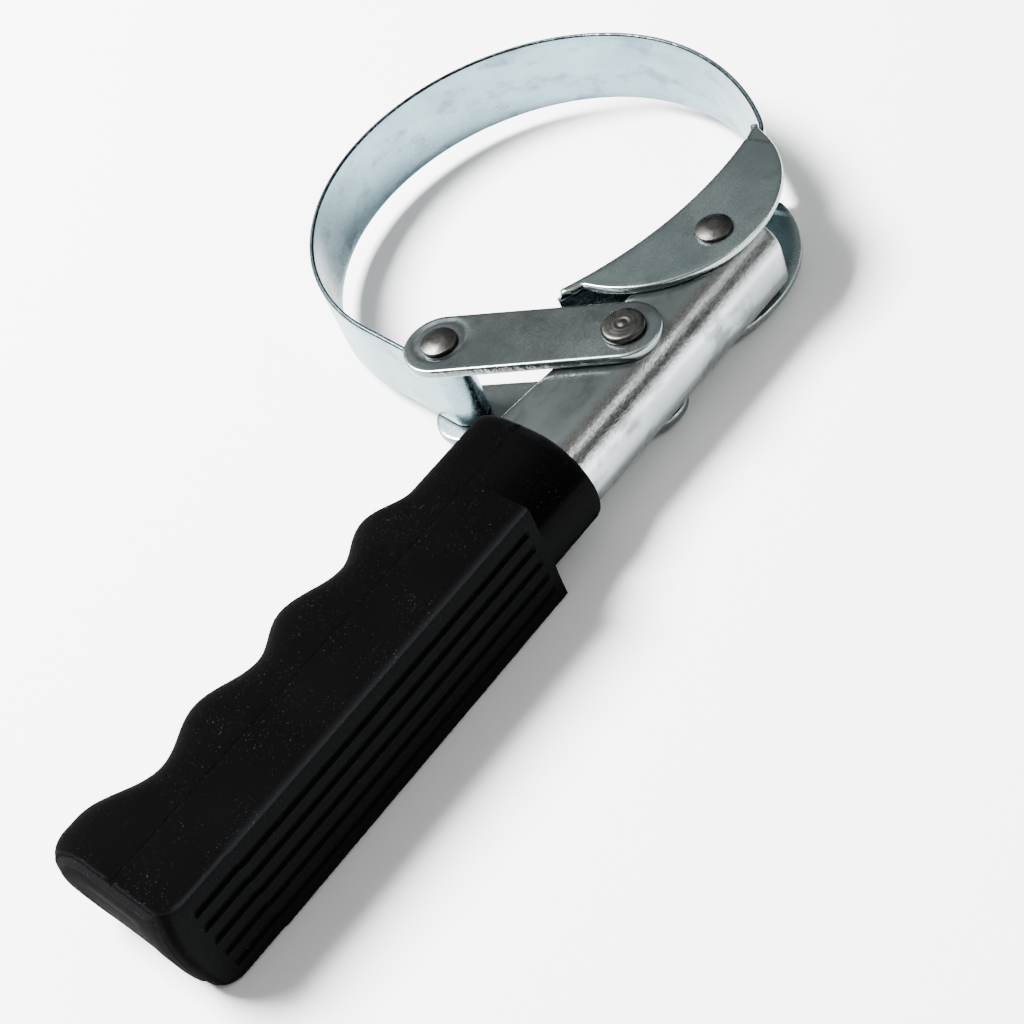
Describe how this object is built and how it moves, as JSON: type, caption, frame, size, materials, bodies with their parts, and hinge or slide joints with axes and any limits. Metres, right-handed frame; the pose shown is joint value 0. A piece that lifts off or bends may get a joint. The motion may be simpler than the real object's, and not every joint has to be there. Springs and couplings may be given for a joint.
{
  "type": "oil filter wrench",
  "caption": "Band wrench for screw-on oil filters: sprung steel loop tightened by a lever handle through a pair of links, with a ribbed moulded grip.",
  "frame": {"origin": "centre of the band's round stretch at mid width", "axes": "+Z along the band's axis, +X along the handle from the grip to the pivot end, +Y from the handle towards the band"},
  "size_m": [0.2046, 0.1048, 0.0242],
  "materials": {
    "band_steel": "zinc plated strip, satin with faint smudges",
    "saddle_steel": "zinc plated pressing, satin, bright along its curved edges",
    "link_steel": "zinc plated blanking, satin, bright edges",
    "handle_steel": "zinc plated pressing, satin with stretch marks on its bends",
    "rivet_steel": "turned and peened, slightly brown",
    "grip_rubber": "matte moulded"
  },
  "bodies": {
    "head": {"saddle": "saddle_steel", "band_fixed_half": "band_steel", "saddle_rivet": "rivet_steel"},
    "band_end": {"band_free_half": "band_steel"},
    "handle": {"handle_channel": "handle_steel", "saddle_pivot_spacer": "rivet_steel", "link_pivot_spacer": "rivet_steel", "grip": "grip_rubber"},
    "links": {"upper_link": "link_steel", "lower_link": "link_steel", "link_rivet": "rivet_steel", "eye_rivet": "rivet_steel"}
  },
  "joints": [
    {"name": "handle_swing", "type": "hinge", "parent": "head", "child": "handle", "pos_m": [0.001, -0.0468, 0], "axis": [0, 0, 1], "range_deg": [-6, 34]},
    {"name": "link_swing", "type": "hinge", "parent": "handle", "child": "links", "pos_m": [-0.0265, -0.0468, 0], "axis": [0, 0, 1], "range_deg": [-47, 9]},
    {"name": "band_flex", "type": "hinge", "parent": "head", "child": "band_end", "pos_m": [0.0261, 0.0373, 0], "axis": [0, 0, 1], "range_deg": [-2.2, 11.2]}
  ],
  "couplings": [
    {"joint": "link_swing", "follows": "handle_swing", "ratio": -1.37},
    {"joint": "band_flex", "follows": "handle_swing", "ratio": 0.32}
  ]
}
